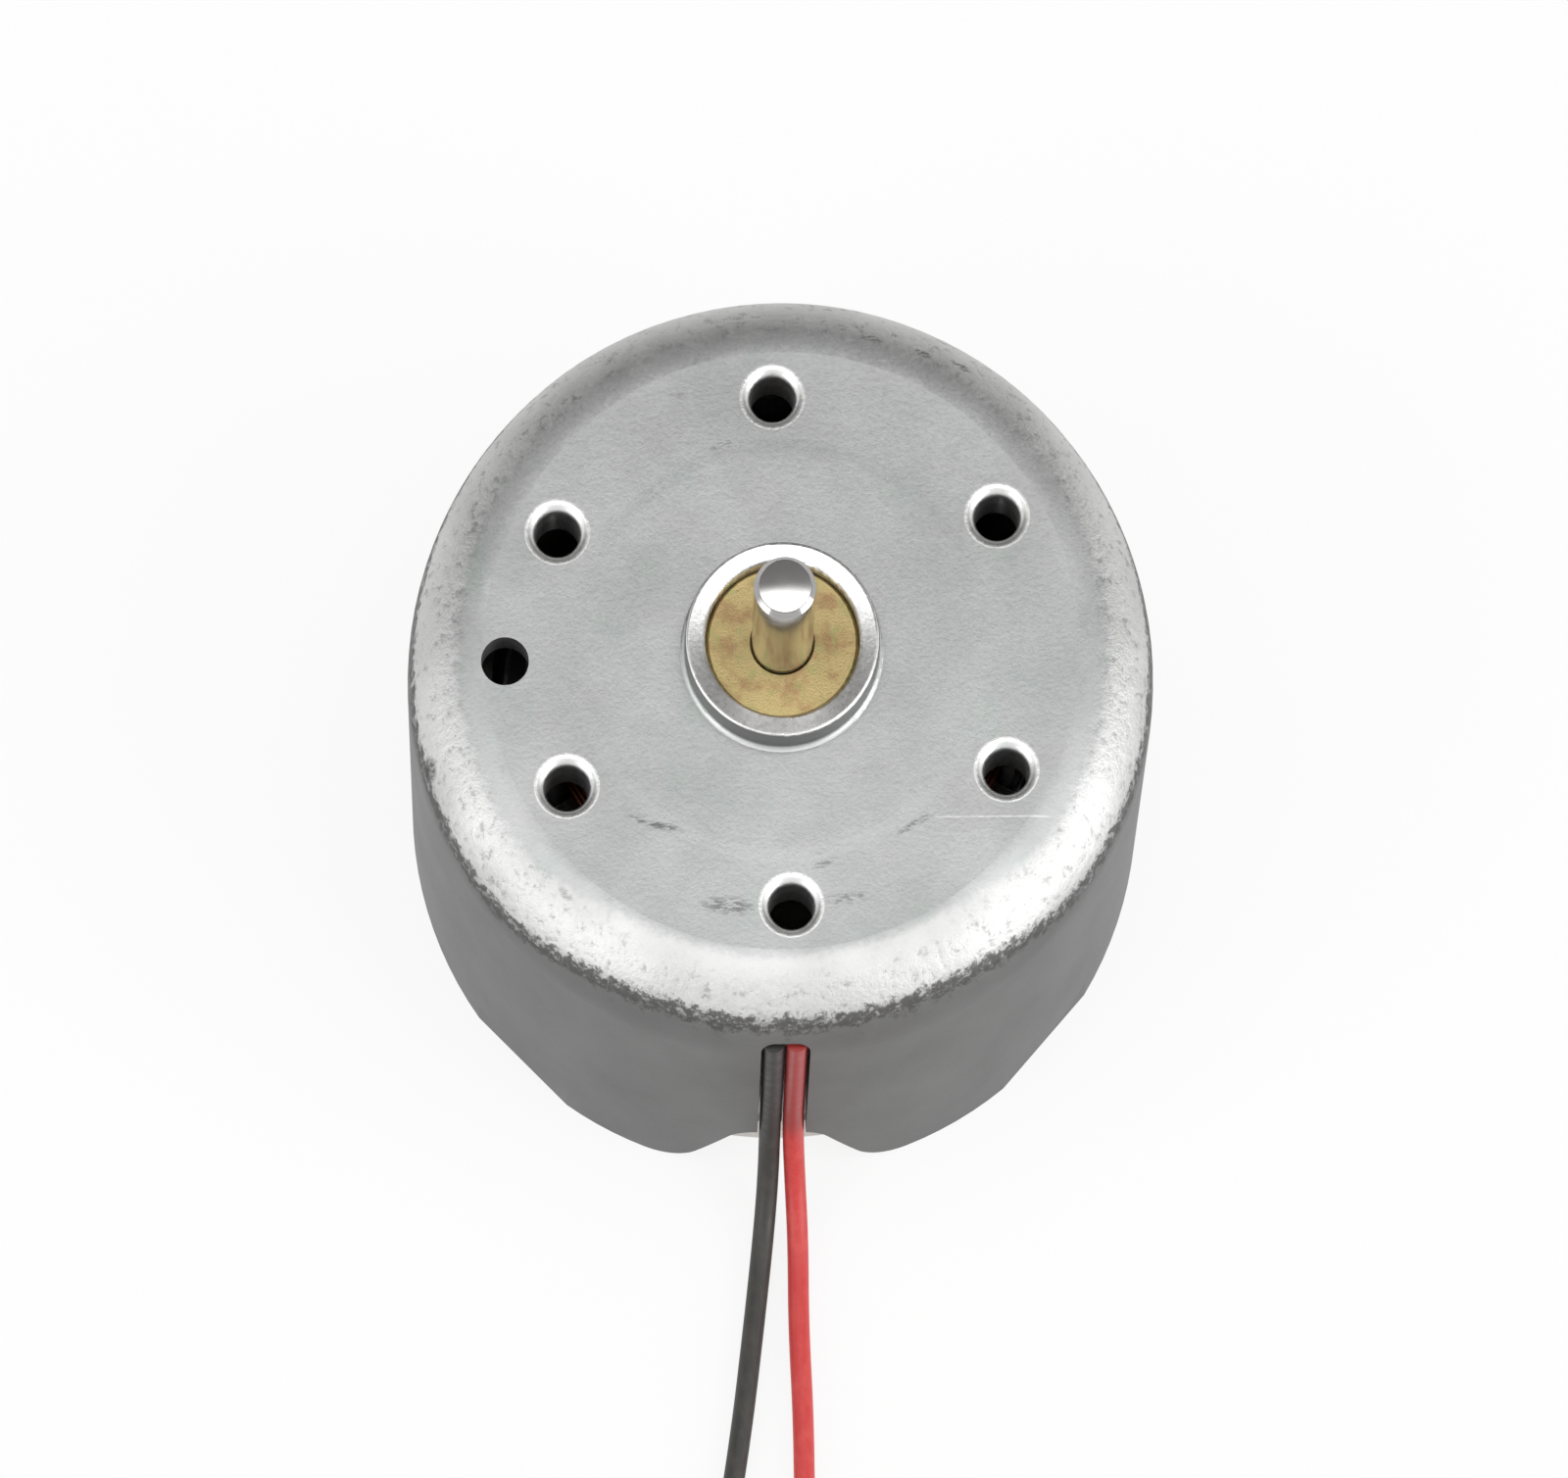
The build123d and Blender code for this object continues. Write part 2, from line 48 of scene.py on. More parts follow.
# ---------------------------------------------------------------- sizes, in millimetres
CAN_RADIUS = 12.2
CAN_HEIGHT = 12.3
SHOULDER_RADIUS = 2.5
BOSS_RADIUS = 3.16
FRONT_BEARING_RADIUS = 2.5
SCREW_CIRCLE_RADIUS = 8.25
SCREW_BORE_RADIUS = 0.72
SCREW_LIP = 0.3
SCREW_COUNT = 6
FACE_DISC_RADIUS = 6.45
FACE_DISC_FOOT = 6.9
FACE_DISC_RISE = 0.02
SHAFT_TIP = 17.1
LEAD_RADIUS = 0.36
STRIPPED_LENGTH = 3.0
COIL_START_RADIUS = 5.3
COIL_PITCH = 0.8
COIL_CENTRE_Y = -29.4
COIL_RUN_IN = 1.1
COIL_POINTS_PER_TURN = 24
COIL_WHOLE_TURNS = 2
# how far the bare end turns in from the coil's own direction, in degrees
END_TURN_IN = 45.0

# The routes of the two leads: down the channel in the can, out of the notch and along the floor.
BLACK_ROUTE = [
    (-0.66, -11.90, 10.30),
    (-0.65, -11.88, 6.95),
    (-0.66, -11.90, 3.30),
    (-0.72, -12.95, 1.46),
    (-0.95, -14.77, 0.40),
    (-1.38, -17.70, 0.36),
    (-1.86, -20.80, 0.36),
    (-2.45, -23.90, 0.36),
    (-3.10, -27.00, 0.36),
]
RED_ROUTE = [
    (0.10, -11.90, 10.30),
    (0.11, -11.88, 6.95),
    (0.10, -11.90, 3.30),
    (0.17, -12.95, 1.46),
    (0.24, -14.77, 0.40),
    (0.15, -17.60, 0.36),
    (0.20, -20.70, 0.36),
    (0.12, -23.90, 0.36),
    (0.30, -27.00, 0.36),
]


# ---------------------------------------------------------------- camera
# The eye stands on the lead side and looks down on the face. The picture plane is parallel to the face,
# as in a photograph straightened so that the face's circles stay round. EYE, NEAREST_SEEN and
# FURTHEST_SEEN come out in metres. ROLL, in radians, turns the picture about the motor's axis.
EYE = Vector((-11.786, -135.6, 326.08)) * MM
# how much of the face's plane the picture spans, and its middle from the axis, across and up
PICTURE_WIDTH = 50.912
PICTURE_MIDDLE = (0.0675, -2.8637)
ROLL = 0.0377
NEAREST_SEEN = 0.01
FURTHEST_SEEN = 10
SENSOR_WIDTH = 36.0


def make_camera():
    data = bpy.data.cameras.new("camera")
    camera = bpy.data.objects.new("camera", data)
    scene.collection.objects.link(camera)
    right = Vector((math.cos(ROLL), -math.sin(ROLL), 0))
    up = Vector((math.sin(ROLL), math.cos(ROLL), 0))
    across, along = PICTURE_MIDDLE
    middle = Vector((0, 0, CAN_HEIGHT * MM)) + (right * across + up * along) * MM
    back = EYE - middle
    data.sensor_fit = "HORIZONTAL"
    data.sensor_width = SENSOR_WIDTH
    data.lens = SENSOR_WIDTH * back.length / (PICTURE_WIDTH * MM)
    data.clip_start = NEAREST_SEEN
    data.clip_end = FURTHEST_SEEN
    # a camera frame whose right and up axes stay in the face's plane while it looks at the face aslant
    aslant = Matrix.Identity(4)
    for column, axis in enumerate((right, up, back.normalized(), EYE)):
        for row in range(3):
            aslant[row][column] = axis[row]
    stand = bpy.data.objects.new("camera_stand", None)
    scene.collection.objects.link(stand)
    camera.parent = stand
    camera.matrix_parent_inverse = aslant
    scene.camera = camera


make_camera()


# ---------------------------------------------------------------- leads
def stripped_root(colour, centre, side):
    """Where a lead's bare end starts, which way it points and its angle round the coil.

    The angle is measured from the coil's centre, and all three come from the frame's node of the end.
    """
    low, high = (Vector(corner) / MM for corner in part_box(f"lead_{colour}_end"))
    away = (low + high) / 2 - centre
    turn = math.radians(90 + END_TURN_IN)
    half = STRIPPED_LENGTH / 2
    across = half * math.sin(turn)
    radius = math.sqrt(away.x ** 2 + away.y ** 2 - across ** 2) - half * math.cos(turn)
    angle = math.atan2(away.y, away.x) - side * math.atan2(across, radius + half * math.cos(turn))
    root = centre + Vector((math.cos(angle), math.sin(angle), 0)) * radius
    heading = angle + side * turn
    return root, Vector((math.cos(heading), math.sin(heading), 0)), angle


def coiled_route(colour, route, side):
    """A lead's route with the turns of its flat coil, wound inwards to the bare end in the middle."""
    points = [Vector(p) for p in route]
    centre = Vector((route[-1][0] + side * COIL_START_RADIUS, COIL_CENTRE_Y, LEAD_RADIUS))
    root, heading, root_angle = stripped_root(colour, centre, side)
    start = 180.0 if side > 0 else 0.0
    last_turn = (side * (math.degrees(root_angle) - start)) % 360
    points.append(Vector((route[-1][0], COIL_CENTRE_Y + COIL_RUN_IN, LEAD_RADIUS)))
    step = 360.0 / COIL_POINTS_PER_TURN
    turned = step / 2
    while turned < COIL_WHOLE_TURNS * 360 + last_turn - 2 * step:
        radius = COIL_START_RADIUS - COIL_PITCH * turned / 360
        angle = math.radians(start + side * turned)
        points.append(centre + Vector((math.cos(angle), math.sin(angle), 0)) * radius)
        turned += step
    points.append(root - heading * LEAD_RADIUS * 2)
    points.append(root)
    return points


def make_lead(colour, route, side):
    points = coiled_route(colour, route, side)
    curve = bpy.data.curves.new(f"{colour}_lead", "CURVE")
    curve.dimensions = "3D"
    # the tube's radius is on its points, so that the curve's box is the tube's own
    curve.bevel_depth = 1.0
    curve.bevel_resolution = 8
    curve.resolution_u = 10
    curve.use_fill_caps = True
    spline = curve.splines.new("NURBS")
    spline.points.add(len(points) - 1)
    for knot, point in zip(spline.points, points):
        knot.co = (*(point * MM), 1)
        knot.radius = LEAD_RADIUS * MM
    spline.order_u = 3
    spline.use_endpoint_u = True
    piece = bpy.data.objects.new(f"{colour}_lead", curve)
    scene.collection.objects.link(piece)
    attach(piece, "housing")
    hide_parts(f"lead_{colour}", f"lead_{colour}_coil")
    return piece


black_lead = make_lead("black", BLACK_ROUTE, -1)
red_lead = make_lead("red", RED_ROUTE, 1)


# ---------------------------------------------------------------- material helpers
SCALAR_RESULTS = ("LENGTH", "DISTANCE", "DOT_PRODUCT")
FLAT = (1, 1, 0)


class Shader:
    """A node material on object coordinates in millimetres.

    A method that takes a value takes either a number or another node's output, and gives a node's output.
    """

    def __init__(self, name, colour, metallic=0.0, roughness=0.5, **constants):
        self.material = bpy.data.materials.new(name)
        self.material.use_nodes = True
        self.material.diffuse_color = (*colour, 1)
        self.tree = self.material.node_tree
        self.surface = self.tree.nodes["Principled BSDF"]
        self.surface.inputs["Base Color"].default_value = (*colour, 1)
        self.surface.inputs["Metallic"].default_value = metallic
        self.surface.inputs["Roughness"].default_value = roughness
        for socket, value in constants.items():
            self.surface.inputs[socket.replace("_", " ")].default_value = value
        coordinates = self.tree.nodes.new("ShaderNodeTexCoord")
        self.place = self.vector("SCALE", coordinates.outputs["Object"], scale=1 / MM)

    def link(self, value, socket):
        if isinstance(value, bpy.types.NodeSocket):
            self.tree.links.new(value, socket)
        else:
            socket.default_value = value

    def vector(self, operation, first, second=None, scale=None):
        node = self.tree.nodes.new("ShaderNodeVectorMath")
        node.operation = operation
        self.link(first, node.inputs[0])
        if second is not None:
            self.link(second, node.inputs[1])
        if scale is not None:
            node.inputs["Scale"].default_value = scale
        return node.outputs["Value" if operation in SCALAR_RESULTS else "Vector"]

    def math(self, operation, first, second=0.0):
        node = self.tree.nodes.new("ShaderNodeMath")
        node.operation = operation
        self.link(first, node.inputs[0])
        self.link(second, node.inputs[1])
        return node.outputs[0]

    def plus(self, first, second):
        return self.math("ADD", first, second)

    def minus(self, first, second):
        return self.math("SUBTRACT", first, second)

    def times(self, first, second):
        return self.math("MULTIPLY", first, second)

    def most(self, *values):
        """The largest of some values at each point."""
        largest = values[0]
        for value in values[1:]:
            largest = self.math("MAXIMUM", largest, value)
        return largest

    def axes(self):
        node = self.tree.nodes.new("ShaderNodeSeparateXYZ")
        self.link(self.place, node.inputs[0])
        return node.outputs

    def from_axis(self):
        """The distance from the motor's axis."""
        return self.vector("LENGTH", self.vector("MULTIPLY", self.place, FLAT))

    def grey(self, value):
        node = self.tree.nodes.new("ShaderNodeCombineColor")
        for socket in node.inputs[:3]:
            self.link(value, socket)
        return node.outputs[0]

    def noise(self, scale, detail=3.0, roughness=0.5, stretch=(1, 1, 1)):
        """Noise from 0 to 1 whose features are about 1 / scale millimetres wide."""
        place = self.vector("MULTIPLY", self.place, stretch)
        node = self.tree.nodes.new("ShaderNodeTexNoise")
        self.link(place, node.inputs["Vector"])
        node.inputs["Scale"].default_value = scale
        node.inputs["Detail"].default_value = detail
        node.inputs["Roughness"].default_value = roughness
        return node.outputs["Fac"]

    def remap(self, value, low, high, to_low=0.0, to_high=1.0, smooth=True):
        node = self.tree.nodes.new("ShaderNodeMapRange")
        node.interpolation_type = "SMOOTHSTEP" if smooth else "LINEAR"
        self.link(value, node.inputs["Value"])
        limits = {"From Min": low, "From Max": high, "To Min": to_low, "To Max": to_high}
        for name, number in limits.items():
            node.inputs[name].default_value = number
        return node.outputs["Result"]

    def mix(self, factor, first, second, blend="MIX"):
        node = self.tree.nodes.new("ShaderNodeMix")
        node.data_type = "RGBA"
        node.blend_type = blend
        self.link(factor, node.inputs["Factor"])
        for value, socket in ((first, node.inputs[6]), (second, node.inputs[7])):
            self.link(value if isinstance(value, bpy.types.NodeSocket) else (*value, 1), socket)
        return node.outputs[2]

    def band(self, value, low, high, soft):
        """1 between low and high, falling to 0 over soft on both sides."""
        rise = self.remap(value, low - soft, low)
        fall = self.remap(value, high, high + soft, 1.0, 0.0)
        return self.times(rise, fall)

    def bump(self, height, distance, strength=1.0, normal=None):
        """distance is the height in millimetres that a value of 1 stands for."""
        node = self.tree.nodes.new("ShaderNodeBump")
        node.inputs["Strength"].default_value = strength
        node.inputs["Distance"].default_value = distance * MM
        self.link(height, node.inputs["Height"])
        if normal is not None:
            self.link(normal, node.inputs["Normal"])
        return node.outputs["Normal"]

    def use(self, colour=None, roughness=None, normal=None, metallic=None):
        for value, name in ((colour, "Base Color"), (roughness, "Roughness"), (normal, "Normal"),
                            (metallic, "Metallic")):
            if value is not None:
                self.link(value, self.surface.inputs[name])
        return self.material


def dress(material, *names):
    for name in names:
        piece = nodes[name] if isinstance(name, str) else name
        piece.data.materials.clear()
        piece.data.materials.append(material)


# ---------------------------------------------------------------- the can's plated steel
FACE_GREY = (0.515, 0.52, 0.52)
# painted shade: the side wall and the boss's wall are painted this grey, darker than the face
WALL_SHADE_GREY = (0.185, 0.187, 0.185)
# partly worn steel, partly painted highlight: the shoulder band is painted lighter where the shoulder
# shows its highlight
BURNISHED_AND_HIGHLIGHT = (0.60, 0.60, 0.595)
# worn steel and painted highlights: the boss ring, the screw holes' lips and the scratch
BRIGHT_STEEL_AND_HIGHLIGHT = (0.88, 0.88, 0.87)
# darker in the shoulder's pits, and a painted shadow line where the wall begins
PIT_AND_SHADOW_DARK = (0.085, 0.083, 0.08)
DARK_STAIN = (0.085, 0.085, 0.083)
GREEN_TINT = (0.455, 0.51, 0.48)
PINK_TINT = (0.52, 0.505, 0.515)
# small dark marks on the face: x and y of the middle, half length, half width, slant in degrees and
# strength
MARKS = [
    (-4.35, -5.45, 1.0, 0.16, -17, 0.75),
    (4.15, -5.75, 0.75, 0.13, 28, 0.55),
    (-2.05, -8.2, 0.95, 0.32, -6, 0.6),
    (1.85, -8.1, 0.75, 0.22, 4, 0.5),
    (1.1, -6.95, 0.45, 0.14, 24, 0.45),
    (-1.7, 6.75, 0.45, 0.12, 14, 0.5),
    (-3.1, 8.4, 0.3, 0.15, 0, 0.35),
    (3.3, 10.1, 0.4, 0.14, -22, 0.7),
    (4.95, 9.6, 0.3, 0.14, -27, 0.7),
    (6.2, 9.2, 0.4, 0.14, -33, 0.7),
    (-7.3, -7.6, 0.35, 0.14, -50, 0.45),
]
CHIP_PLACE = (-11.75, -2.9, 11.0)
# the scratch's fall across the face, where it would cross the middle, and where it runs from and to
SCRATCH_SLOPE = 0.03
SCRATCH_Y = -5.43
SCRATCH_SPAN = (5.2, 8.2)
# where the drawn shoulder's arc has its centre: its radius from the axis and its height
ARC_RADIUS = CAN_RADIUS - SHOULDER_RADIUS
ARC_HEIGHT = CAN_HEIGHT - SHOULDER_RADIUS
# the angles down the shoulder, in degrees, between which it is burnished with a painted highlight, pitted
# and lined with a painted shadow line, and over which the wall's painted shade sets in. BAND_DROP is how
# much lower they lie away from the leads.
BURNISH_HIGHLIGHT_SPAN = (10.0, 45.0)
PITTED_SPAN = (30.0, 58.0)
SHADOW_LINE_SPAN = (51.0, 59.0)
WALL_SHADE_START = (47.0, 62.0)
RAGGEDNESS = 7.0
BAND_DROP = 17.0
# the boss's wall is painted grey as painted shade, and its ring is painted bright as worn steel with a
# painted highlight, from these heights up
BOSS_WALL_SHADE_HEIGHTS = (CAN_HEIGHT + 0.08, CAN_HEIGHT + 0.2)
BOSS_RING_HIGHLIGHT_HEIGHTS = (CAN_HEIGHT + 0.45, CAN_HEIGHT + 0.7)
PLATING_ROUGHNESS = (0.36, 0.46)
WALL_METALLIC = 0.8


def can_steel():
    s = Shader("can_steel", FACE_GREY, metallic=1.0, roughness=0.4)
    x, y, z = s.axes()
    radius = s.from_axis()
    # the angle down the shoulder: under 0 on the face, 90 degrees and more on the wall
    down = s.math("ARCTAN2", s.minus(radius, ARC_RADIUS), s.minus(z, ARC_HEIGHT))
    down = s.times(down, math.degrees(1))
    clouds = s.noise(0.35, detail=4, roughness=0.55)
    tints = s.noise(0.5, detail=3, roughness=0.5, stretch=(1, 1, 0.6))
    grain = s.noise(8.0, detail=4, roughness=0.65)
    pits = s.noise(2.6, detail=5, roughness=0.72)
    flecks = s.noise(3.4, detail=4, roughness=0.75, stretch=(1, 1, 1.6))
    ragged = s.plus(down, s.remap(pits, 0.25, 0.75, -RAGGEDNESS, RAGGEDNESS, smooth=False))
    # 1 on the lead side and -1 on the far side
    front = s.math("DIVIDE", s.times(y, -1.0), radius)
    # the bands of painted highlight, painted shadow line and painted wall shade lie lower away from the
    # leads
    ragged = s.minus(ragged, s.remap(front, 0.55, 0.93, BAND_DROP, 0.0))
    # the burnished shoulder band, painted lighter as worn steel and as a painted highlight
    burnish_and_highlight = s.band(ragged, *BURNISH_HIGHLIGHT_SPAN, 10.0)
    # painted shade: masks of the boss's outer wall and of the can's side wall, which take the darker wall
    # grey
    boss_wall_shade = s.band(radius, BOSS_RADIUS - 0.04, BOSS_RADIUS + 0.05, 0.04)
    boss_wall_shade = s.times(boss_wall_shade, s.remap(z, *BOSS_WALL_SHADE_HEIGHTS))
    wall_shade = s.most(s.remap(ragged, *WALL_SHADE_START), boss_wall_shade)
    shoulder = s.band(down, *PITTED_SPAN, 22.0)
    # clouds, faint tints and fine grain in the plating, the burnished shoulder band painted lighter as
    # worn steel and a painted highlight, and the wall's painted shade
    colour = s.mix(s.remap(tints, 0.52, 0.74, 0.0, 0.5), FACE_GREY, GREEN_TINT)
    colour = s.mix(s.remap(tints, 0.42, 0.25, 0.0, 0.6), colour, PINK_TINT)
    colour = s.mix(burnish_and_highlight, colour, BURNISHED_AND_HIGHLIGHT)
    colour = s.mix(wall_shade, colour, WALL_SHADE_GREY)
    for pattern, darkest, lightest in ((clouds, 0.9, 1.07), (grain, 0.95, 1.04)):
        shade = s.grey(s.remap(pattern, 0.3, 0.7, darkest, lightest, smooth=False))
        colour = s.mix(1.0, colour, shade, "MULTIPLY")
    # the shoulder darker in its pits, and an irregular painted shadow line where the wall begins
    dark_pits = s.times(s.remap(pits, 0.47, 0.33), shoulder)
    # a painted shadow line where the shoulder meets the wall
    line = s.times(s.band(ragged, *SHADOW_LINE_SPAN, 5.0), s.remap(flecks, 0.36, 0.52))
    colour = s.mix(s.most(s.times(dark_pits, 0.4), s.times(line, 0.88)), colour, PIT_AND_SHADOW_DARK)
    colour = s.mix(marks(s, x, y, z), colour, DARK_STAIN)
    # bright places: the boss ring, worn steel with a painted highlight, painted highlights on the lips of
    # the screw holes, and a worn scratch
    # the boss ring, painted bright as worn steel with a painted highlight
    ring = s.band(radius, FRONT_BEARING_RADIUS, BOSS_RADIUS - 0.06, 0.05)
    ring = s.times(ring, s.remap(z, *BOSS_RING_HIGHLIGHT_HEIGHTS))
    ring = s.times(ring, s.remap(flecks, 0.3, 0.55, 0.35, 0.9))
    bright_wear_and_highlight = s.most(ring, screw_lip_highlights(s, z), scratch(s, x, y, z))
    colour = s.mix(bright_wear_and_highlight, colour, BRIGHT_STEEL_AND_HIGHLIGHT)
    roughness = s.remap(grain, 0.3, 0.7, *PLATING_ROUGHNESS, smooth=False)
    roughness = s.minus(roughness, s.times(bright_wear_and_highlight, 0.12))
    roughness = s.plus(roughness, s.times(s.remap(down, -20.0, 20.0), 0.09))
    roughness = s.plus(roughness, s.times(wall_shade, 0.06))
    # relief: the pitted shoulder, fine grain, the worn-down edge of the centre disc, and the slightly
    # dished top of the boss ring
    relief = s.times(pits, s.plus(0.04, s.times(shoulder, 0.55)))
    normal = s.bump(relief, 0.10, 0.8)
    normal = s.bump(grain, 0.010, 0.6, normal)
    worn = s.remap(radius, FACE_DISC_RADIUS, FACE_DISC_FOOT, 0.0, FACE_DISC_RISE * 0.75, smooth=False)
    normal = s.bump(worn, 1.0, 1.0, normal)
    offset = s.minus(radius, (FRONT_BEARING_RADIUS + BOSS_RADIUS) / 2)
    dish = s.times(offset, s.band(radius, FRONT_BEARING_RADIUS, BOSS_RADIUS - 0.1, 0.02))
    normal = s.bump(dish, 0.22, 1.0, normal)
    return s.use(colour, roughness, normal, s.remap(wall_shade, 0.0, 1.0, 1.0, WALL_METALLIC))


def screw_lip_highlights(s, z):
    """A mask of painted highlights: the thin bright rims round the six screw holes, and their rounded
    mouths.
    """
    edge = SCREW_BORE_RADIUS + SCREW_LIP
    lip_highlights = []
    for i in range(SCREW_COUNT):
        angle = math.radians(90 + 360 * i / SCREW_COUNT)
        middle = (SCREW_CIRCLE_RADIUS * math.cos(angle), SCREW_CIRCLE_RADIUS * math.sin(angle), 0)
        away = s.vector("DISTANCE", s.vector("MULTIPLY", s.place, FLAT), middle)
        lip_highlights.append(s.times(s.band(away, edge - 0.04, edge + 0.03, 0.04), 0.9))
        lip_highlights.append(s.times(s.band(away, SCREW_BORE_RADIUS - 0.02, edge - 0.1, 0.05), 0.45))
    return s.times(s.most(*lip_highlights), s.remap(z, CAN_HEIGHT - 0.8, CAN_HEIGHT - 0.6))


def marks(s, x, y, z):
    """Small dark streaky marks on the face, and a chip on the shoulder's left."""
    broken = s.remap(s.noise(4.5, detail=4, roughness=0.8, stretch=(0.6, 2.2, 1)), 0.44, 0.56)
    shown = []
    for middle_x, middle_y, length, width, slant, strength in MARKS:
        cosine, sine = math.cos(math.radians(slant)), math.sin(math.radians(slant))
        dx, dy = s.minus(x, middle_x), s.minus(y, middle_y)
        along = s.plus(s.times(dx, cosine / length), s.times(dy, sine / length))
        across = s.minus(s.times(dy, cosine / width), s.times(dx, sine / width))
        away = s.plus(s.times(along, along), s.times(across, across))
        shown.append(s.times(s.remap(away, 1.4, 0.1), strength))
    streaks = s.times(s.times(s.most(*shown), broken), s.remap(z, CAN_HEIGHT - 1.8, CAN_HEIGHT - 1.0))
    chip = s.remap(s.vector("DISTANCE", s.place, CHIP_PLACE), 0.55, 0.3, 0.0, 0.9)
    return s.most(streaks, s.times(chip, s.remap(broken, 0.0, 1.0, 0.5, 1.0)))


def scratch(s, x, y, z):
    """One light straight scratch on the face."""
    line = s.band(s.plus(y, s.times(x, SCRATCH_SLOPE)), SCRATCH_Y - 0.01, SCRATCH_Y + 0.01, 0.03)
    line = s.times(line, s.band(x, *SCRATCH_SPAN, 0.8))
    return s.times(line, s.remap(z, CAN_HEIGHT - 0.1, CAN_HEIGHT - 0.02, 0.0, 0.55))


dress(can_steel(), "motor_can")


# ---------------------------------------------------------------- other metals
BRONZE = (0.56, 0.44, 0.21)
BRONZE_BROWN = (0.42, 0.27, 0.14)
BRONZE_OLIVE = (0.42, 0.40, 0.17)
BRONZE_PORE = (0.2, 0.15, 0.07)
SHAFT_LIGHT = (0.72, 0.71, 0.70)
SHAFT_DARK = (0.66, 0.65, 0.64)
SHAFT_SIDE_SHADE = (0.56, 0.56, 0.56)
# the enamel is painted much darker than copper, as painted shade for the inside of the closed motor, and
# darker still in the gaps between turns as painted shade
SHADED_ENAMEL = (0.15, 0.048, 0.019)
ENAMEL_GAP_SHADE = (0.03, 0.009, 0.004)
SHADED_ENAMEL_DARK = (0.10, 0.026, 0.010)
WIRE_SPACING = 0.16


def sintered_bronze():
    s = Shader("sintered_bronze", BRONZE, metallic=1.0, roughness=0.42)
    patches = s.noise(1.1, detail=4, roughness=0.6)
    olive = s.noise(1.7, detail=3, roughness=0.6, stretch=(1.3, 1, 1))
    pores = s.noise(14.0, detail=3, roughness=0.7)
    colour = s.mix(s.remap(patches, 0.45, 0.68), BRONZE, BRONZE_BROWN)
    colour = s.mix(s.remap(olive, 0.5, 0.7, 0.0, 0.8), colour, BRONZE_OLIVE)
    colour = s.mix(s.remap(pores, 0.42, 0.3, 0.0, 0.5), colour, BRONZE_PORE)
    return s.use(colour, s.remap(patches, 0.3, 0.7, 0.36, 0.5), s.bump(pores, 0.02, 0.5))


def shaft_steel():
    s = Shader("shaft_steel", SHAFT_LIGHT, metallic=1.0, roughness=0.12)
    turning = s.noise(1.0, detail=3, roughness=0.6, stretch=(1, 1, 26))
    colour = s.mix(s.remap(turning, 0.35, 0.65), SHAFT_LIGHT, SHAFT_DARK)
    # the turned end face is very slightly domed, and lighter than the side
    radius = s.from_axis()
    dome = s.times(s.times(radius, radius), -1.0)
    _, _, z = s.axes()
    end = s.remap(z, SHAFT_TIP - 0.02, SHAFT_TIP - 0.005)
    normal = s.bump(s.times(dome, end), 0.16, 1.0)
    colour = s.mix(end, s.mix(1.0, colour, SHAFT_SIDE_SHADE, "MULTIPLY"), colour)
    roughness = s.plus(s.remap(turning, 0.35, 0.65, 0.1, 0.17), s.times(end, 0.08))
    return s.use(colour, roughness, s.bump(turning, 0.002, 0.4, normal))


def plain_metal(name, colour, roughness, tint, scale=3.0):
    s = Shader(name, colour, metallic=1.0, roughness=roughness)
    patches = s.noise(scale, detail=4, roughness=0.6)
    mixed = s.mix(s.remap(patches, 0.35, 0.68), colour, tint)
    rough = s.remap(patches, 0.3, 0.7, roughness * 0.8, roughness * 1.3)
    return s.use(mixed, rough, s.bump(patches, 0.008, 0.5))


def wound_copper(name, axis_angle):
    """Enamelled wire lying turn beside turn round a pole arm, painted darker than copper as painted shade
    inside the closed motor, with painted shade in the gaps between turns.
    """
    s = Shader(name, SHADED_ENAMEL, metallic=0.6, roughness=0.32, Coat_Weight=0.4)
    along = s.vector("DOT_PRODUCT", s.place, (math.cos(axis_angle), math.sin(axis_angle), 0))
    wires = s.math("ABSOLUTE", s.math("SINE", s.times(along, math.pi / WIRE_SPACING)))
    drift = s.noise(1.5, detail=3)
    # painted shade in the gaps between the turns
    colour = s.mix(s.remap(wires, 0.0, 0.45), ENAMEL_GAP_SHADE, SHADED_ENAMEL)
    colour = s.mix(s.remap(drift, 0.4, 0.7, 0.0, 0.5), colour, SHADED_ENAMEL_DARK)
    return s.use(colour, normal=s.bump(wires, 0.05, 0.9))


dress(sintered_bronze(), "front_bearing", "rear_bearing")
dress(shaft_steel(), "shaft")
dress(plain_metal("tinned_strip", (0.66, 0.66, 0.64), 0.3, (0.5, 0.5, 0.49)),
      "terminal_left", "terminal_right")
dress(plain_metal("solder", (0.74, 0.74, 0.74), 0.18, (0.6, 0.6, 0.62)), "solder_left", "solder_right")
dress(plain_metal("spring_bronze", (0.66, 0.42, 0.22), 0.28, (0.52, 0.32, 0.16)),
      "brush_arm_left", "brush_arm_right")
dress(plain_metal("segment_copper", (0.78, 0.42, 0.24), 0.22, (0.6, 0.3, 0.17)), "commutator_segments")
dress(plain_metal("lamination_steel", (0.34, 0.35, 0.37), 0.45, (0.24, 0.25, 0.27)), "armature_core")
for number in (1, 2, 3):
    pole_angle = math.radians(90 + 120 * (number - 1))
    dress(wound_copper(f"winding_copper_{number}", pole_angle), f"winding_{number}")


